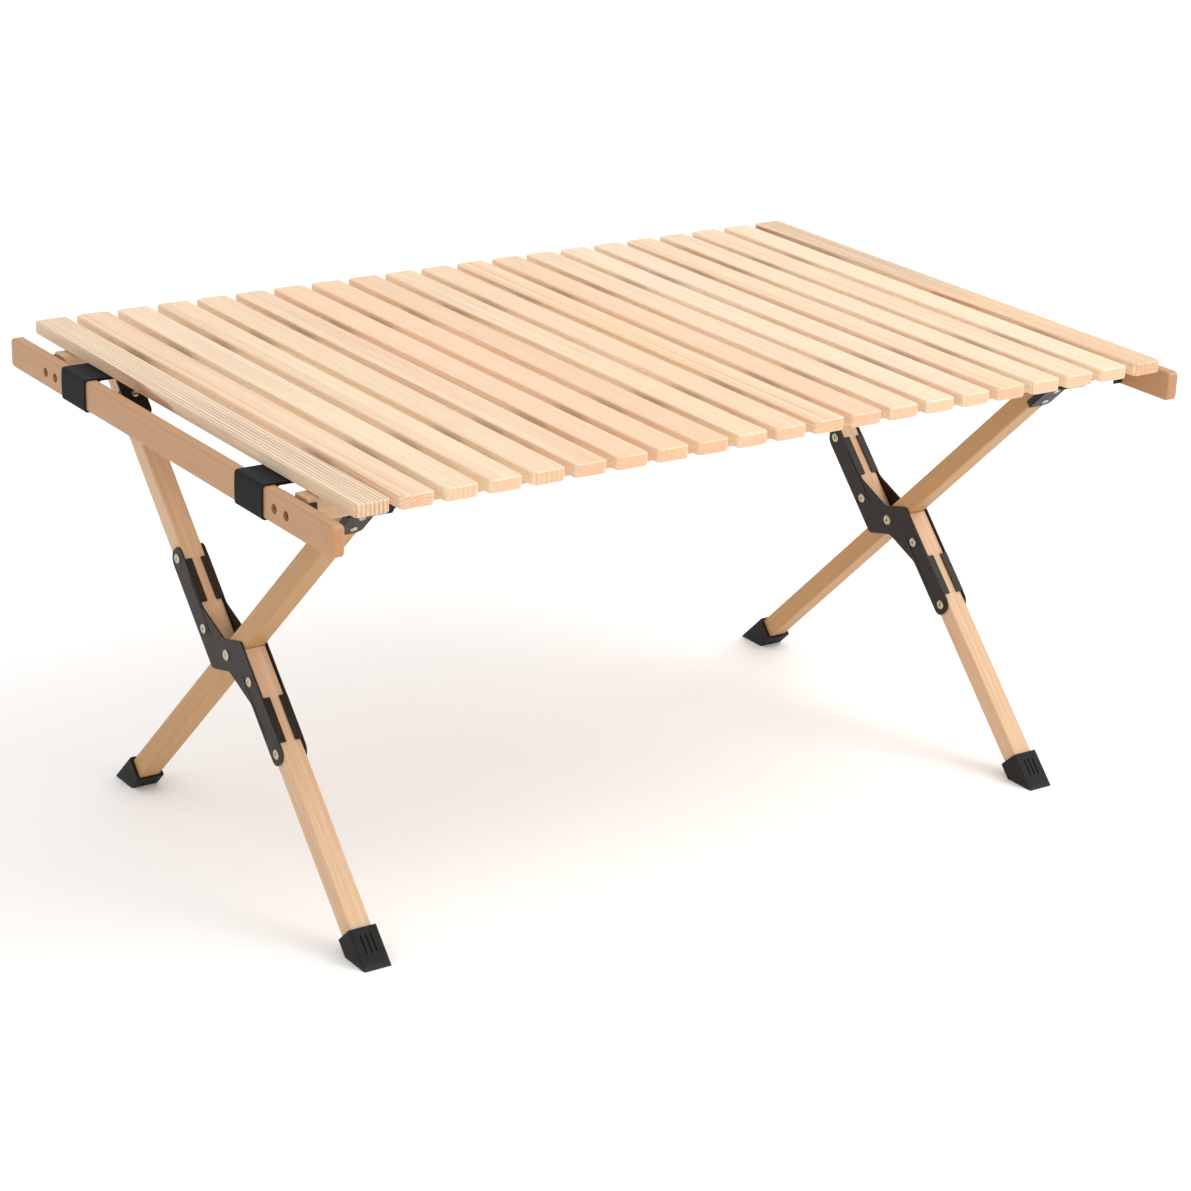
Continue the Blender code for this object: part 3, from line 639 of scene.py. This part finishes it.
def add_bead(bm, way, face, outward):
    """A half-round ridge on a plate's face that fades out at both ends."""
    rings = []
    for step in range(BEAD_STEPS + 1):
        t = step / BEAD_STEPS
        along = BEAD_START + (BEAD_END - BEAD_START) * t
        fade = min(1.0, 6 * t, 6 * (1 - t))
        ring = []
        for k in range(7):
            a = math.pi * k / 6
            lift = BEAD_HEIGHT * fade * math.sin(a)
            spread = BEAD_HALF * math.cos(a) * (0.4 + 0.6 * fade)
            spot = leg_point(0, SPLIT_TILT, way * (BEAD_ACROSS + spread), way * along)
            ring.append(bm.verts.new((face + outward * (lift - BEAD_SINK), spot.y, spot.z)))
        rings.append(ring)
    for a, b in zip(rings, rings[1:]):
        for i in range(6):
            bm.faces.new((a[i], a[i + 1], b[i + 1], b[i]))
        bm.faces.new((a[6], a[0], b[0], b[6]))
    bm.faces.new(rings[0])
    bm.faces.new(rings[-1])


def build_plate_beads(steel):
    """A pressed bead along each arm of a hub plate."""
    for side, _ in SIDES:
        for place in ("outer", "inner"):
            low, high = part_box(f"{side}_{place}_hub_plate")
            hub_x = sum(v.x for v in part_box(f"{side}_pivot_rivet")) / 2
            outward = 1 if (low.x + high.x) / 2 > hub_x else -1
            face = high.x if outward > 0 else low.x
            bm = bmesh.new()
            for way in (1, -1):
                add_bead(bm, way, face, outward)
            name = f"{side}_{place}_plate_beads"
            new_object(name, mesh_from("beads", bm), steel, "back_frame")


# ------------------------------------------------------------ screws and tacks
def bracket_screw_places(row, x):
    """Screws on the leg arm and at the end of the rail arm of a corner bracket."""
    tilt, offset = (THROUGH_TILT, 0) if row == "front" else (SPLIT_TILT, SPLIT_OFFSET)
    low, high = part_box(f"{'left' if x < 0 else 'right'}_{row}_corner_bracket")
    outward = Matrix.Rotation(tilt, 3, "X") @ Vector((0, -1, 0))
    surface = offset - LEG_DEPTH_HALF - GAP - SHEET
    tail = (low.z - HUB_Z - surface * math.sin(tilt)) / math.cos(tilt)
    places = []
    for along in LEG_ARM_SCREWS:
        places.append(facing(outward, leg_point(x, tilt, surface, tail + along)))
    rail_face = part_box(f"{row}_long_rail")[0].y - GAP - SHEET
    for reach in RAIL_ARM_SCREWS:
        spot = Vector((x + LEG_HALF + reach, rail_face, high.z - RAIL_ARM_DROP))
        places.append(facing((0, -1, 0), spot))
    return places


def build_screws(silver, brass):
    template = screw_template(0.0034, 0.0016)
    for row, _ in ROWS:
        body = "front_frame" if row == "front" else "back_frame"
        for side, _ in SIDES:
            x = sum(v.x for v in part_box(f"{side}_pivot_rivet")) / 2
            places = bracket_screw_places(row, x)
            mesh = scattered(f"{side}_{row}_bracket_screws", template, places, SCREW_SPIN)
            new_object(mesh.name, mesh, silver, body)
    template = screw_template(0.0036, 0.0012)
    for side, sign in SIDES:
        low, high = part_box(f"{side}_end_rail")
        seat = (low.x + high.x) / 2 + sign * (END_RAIL_THICKNESS / 2 - KEEPER_HOLE_DEPTH)
        places = [
            facing((sign, 0, 0), Vector((seat, way * y, (low.z + high.z) / 2)))
            for _, way in ROWS
            for y in KEEPER_SCREW_Y
        ]
        mesh = scattered(f"{side}_keeper_screws", template, places, SCREW_SPIN)
        new_object(mesh.name, mesh, brass, f"top_{side}_end")


def build_tacks(silver):
    """Two domed tacks hold each strap to the underside of each slat."""
    head = turned([(0, 0.0009), (0.0012, 0.00083), (0.0022, 0.0005), (0.0027, 0.0), (0, 0)], 20)
    template = mesh_from("tack", head)
    under = ROLL_Z - STRAP_THICKNESS / 2
    for number, slat in enumerate(SLATS, 1):
        low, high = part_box(slat)
        x = (low.x + high.x) / 2
        places = [
            facing((0, 0, -1), Vector((x, way * STRAP_Y + along, under)))
            for _, way in ROWS
            for along in TACK_PLACES
        ]
        mesh = scattered(f"strap_tacks_{number:02d}", template, places)
        new_object(mesh.name, mesh, silver, f"top_{slat}")


# ------------------------------------------------------------ straps
def section_points():
    """Upper half of the webbing's section: (across from -1 to 1, thickness share)."""
    selvedge = [(1.0, 0.0), (0.992, 0.62), (0.972, 0.92), (0.945, 1.0), (0.90, 0.86)]
    middle = [(-0.8 + 0.2 * i, 0.86) for i in range(9)]
    return [(-across, share) for across, share in selvedge] + middle + selvedge[::-1]


def ribbon(name, path, y, run_from):
    """A closed band of webbing along points in X and Z, with thick selvedges."""
    half = section_points()
    outline = half + [(across, -share) for across, share in reversed(half[1:-1])]
    bm = bmesh.new()
    run_layer = bm.verts.layers.float.new("strap_run")
    side_layer = bm.verts.layers.float.new("strap_side")
    rings = []
    run = run_from
    for index, here in enumerate(path):
        before = path[max(index - 1, 0)]
        after = path[min(index + 1, len(path) - 1)]
        tangent = (Vector(after) - Vector(before)).normalized()
        normal = Vector((-tangent.y, tangent.x))
        if index:
            run += (Vector(here) - Vector(before)).length
        ring = []
        for across, share in outline:
            lift = share * STRAP_THICKNESS / 2
            aside = across * STRAP_WIDTH / 2
            place = (here[0] + normal.x * lift, y + aside, here[1] + normal.y * lift)
            vert = bm.verts.new(place)
            vert[run_layer] = run
            vert[side_layer] = aside
            ring.append(vert)
        rings.append(ring)
    count = len(outline)
    for a, b in zip(rings, rings[1:]):
        for i in range(count):
            j = (i + 1) % count
            bm.faces.new((a[i], a[j], b[j], b[i]))
    bm.faces.new(rings[0])
    bm.faces.new(rings[-1])
    return mesh_from(name, bm, 1.0)


def arc_path(points, radius, steps=6):
    """A line through points in X and Z with each inner corner rounded."""
    result = [points[0]]
    for before, here, after in zip(points, points[1:], points[2:]):
        here_v = Vector(here)
        to_before = Vector(before) - here_v
        to_after = Vector(after) - here_v
        reach = min(radius, 0.48 * to_before.length, 0.48 * to_after.length)
        start = here_v + to_before.normalized() * reach
        end = here_v + to_after.normalized() * reach
        for step in range(steps + 1):
            t = step / steps
            spot = start.lerp(here_v, t).lerp(here_v.lerp(end, t), t)
            result.append((spot.x, spot.y))
    result.append(points[-1])
    return result


def dense(path, spacing):
    """The same line with a point at about every spacing."""
    result = [path[0]]
    for here, there in zip(path, path[1:]):
        step_x, step_z = there[0] - here[0], there[1] - here[1]
        length = (Vector(there) - Vector(here)).length
        count = max(1, round(length / spacing))
        for step in range(1, count + 1):
            t = step / count
            result.append((here[0] + step_x * t, here[1] + step_z * t))
    return result


def end_wrap_path(sign, from_x):
    """Along the slats' underside, over and round an end rail, and back to the run."""
    low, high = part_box("left_end_rail" if sign < 0 else "right_end_rail")
    clear = GAP + STRAP_THICKNESS / 2
    inner = min(abs(low.x), abs(high.x)) - clear
    outer = max(abs(low.x), abs(high.x)) + clear
    bottom = low.z - clear
    top = ROLL_Z
    tail = top - STRAP_THICKNESS - GAP
    corners = [
        (from_x, top),
        (outer, top),
        (outer + WRAP_BULGE, (top + bottom) / 2),
        (outer, bottom),
        (inner, bottom),
        (inner - WRAP_BULGE, (top + bottom) / 2),
        (inner, tail),
        (inner - 0.006, tail),
        (inner - 0.016, tail),
    ]
    line = dense(arc_path(corners, WRAP_RADIUS), WRAP_SPACING)
    return [(sign * x, z) for x, z in line]


def build_straps(webbing, thread):
    """Both straps: a piece between each two slats and a wrap round each end rail."""
    boxes = [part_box(slat) for slat in SLATS]
    centres = {number: (low.x + high.x) / 2 for number, (low, high) in enumerate(boxes, 1)}
    for row, way in ROWS:
        y = way * STRAP_Y
        for number in range(1, 21):
            start, end = centres[number], centres[number + 1]
            path = dense([(start, ROLL_Z), (end, ROLL_Z)], 0.0018)
            mesh = ribbon(f"{row}_strap_{number:02d}", path, y, start)
            piece = new_object(mesh.name, mesh, webbing, None)
            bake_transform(piece)
        for side, sign in SIDES:
            last = 1 if sign < 0 else 21
            path = end_wrap_path(sign, abs(centres[last]))
            mesh = ribbon(f"{row}_strap_{side}_wrap", path, y, 0.0)
            piece = new_object(mesh.name, mesh, webbing, None)
            low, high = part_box(f"{side}_end_rail")
            rail_inner = min(abs(low.x), abs(high.x)) - GAP - STRAP_THICKNESS
            if sign < 0:
                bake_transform(piece)
            else:
                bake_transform(piece)
            build_stitches(f"{row}_{side}", sign, y, rail_inner, thread)
        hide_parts(f"{row}_strap")


def build_stitches(name, sign, y, rail_inner, thread):
    """Two rows of stitches on the strap's outer fold, and two on its tail."""
    bm = bmesh.new()
    top = ROLL_Z + STRAP_THICKNESS / 2
    under = ROLL_Z - 1.5 * STRAP_THICKNESS - GAP
    outer_face = rail_inner + END_RAIL_THICKNESS + 2 * (GAP + STRAP_THICKNESS)
    middle = (STITCH_COUNT - 1) // 2
    for edge_x, z in ((outer_face, top), (rail_inner, under)):
        for inset in STITCH_INSETS:
            for step in range(STITCH_COUNT):
                spot = Vector((sign * (edge_x - inset), y + (step - middle) * STITCH_PITCH, z))
                shape = Matrix.Translation(spot) @ Matrix.Diagonal((*STITCH_RADII, 1))
                bmesh.ops.create_uvsphere(
                    bm, u_segments=8, v_segments=6, radius=1.0, matrix=shape
                )
    body = "top_left_end" if sign < 0 else "top_right_end"
    new_object(f"{name}_stitches", mesh_from("stitches", bm, 3.0), thread, body)


# ------------------------------------------------------------ studio
def area_light(name, place, aim, size, power, colour):
    data = bpy.data.lights.new(name, "AREA")
    data.shape = "RECTANGLE"
    data.size, data.size_y = size
    data.energy = power
    data.color = colour
    obj = bpy.data.objects.new(name, data)
    obj.location = place
    obj.rotation_euler = (Vector(aim) - Vector(place)).to_track_quat("-Z", "Y").to_euler()
    bpy.context.scene.collection.objects.link(obj)


def build_studio():
    bm = bmesh.new()
    bmesh.ops.create_grid(bm, x_segments=1, y_segments=1, size=20.0)
    mesh = bpy.data.meshes.new("floor")
    bm.to_mesh(mesh)
    bm.free()
    floor = bpy.data.objects.new("floor", mesh)
    bpy.context.scene.collection.objects.link(floor)
    paper = Nodes("studio_floor")
    white = (0.95, 0.95, 0.95, 1.0)
    mesh.materials.append(paper.finish(white, 0.9, Emission_Color=white, Emission_Strength=0.07))

    world = bpy.data.worlds.new("studio")
    bpy.context.scene.world = world
    world.use_nodes = True
    sky = world.node_tree.nodes["Background"]
    sky.inputs["Color"].default_value = (1.0, 1.0, 1.0, 1.0)
    sky.inputs["Strength"].default_value = 0.96

    target = (0, 0, 0.25)
    area_light("key", (1.7, -1.3, 2.6), target, (1.8, 1.8), 40, (1.0, 0.985, 0.96))
    area_light("front", (0.4, -3.2, 1.1), target, (2.2, 1.2), 14, (1.0, 0.99, 0.98))


def build_camera():
    data = bpy.data.cameras.new("camera")
    data.sensor_width = 36.0
    data.lens = CAMERA_LENS
    data.shift_y = CAMERA_SHIFT
    data.clip_end = 60.0
    camera = bpy.data.objects.new("camera", data)
    camera.location = CAMERA_PLACE
    camera.rotation_euler = Euler([math.radians(a) for a in CAMERA_TURN])
    scene = bpy.context.scene
    scene.collection.objects.link(camera)
    scene.camera = camera
    scene.view_settings.view_transform = "Standard"
    scene.view_settings.look = "None"


steel = painted_steel()
nickel = plated_steel("rivet_nickel", linear(206, 196, 176), linear(170, 156, 132))
silver = plated_steel("screw_zinc", linear(205, 200, 190), linear(160, 152, 140))
brass = plated_steel("screw_brass", linear(176, 140, 84), linear(128, 98, 58))
rubber = moulded_rubber()

build_camera()
paint_slats()
paint_rails_and_legs()
for node in frame["nodes"]:
    if node.endswith(("_keeper", "_corner_bracket", "_hub_plate")):
        paint(node, steel)
    elif node.endswith("_foot_cap"):
        paint(node, rubber)
    elif node.endswith("_rivet"):
        paint(node, nickel)
build_rivets(nickel, steel)
build_plate_beads(steel)
build_screws(silver, brass)
build_tacks(silver)
build_straps(woven_webbing(), sewing_thread())
build_studio()
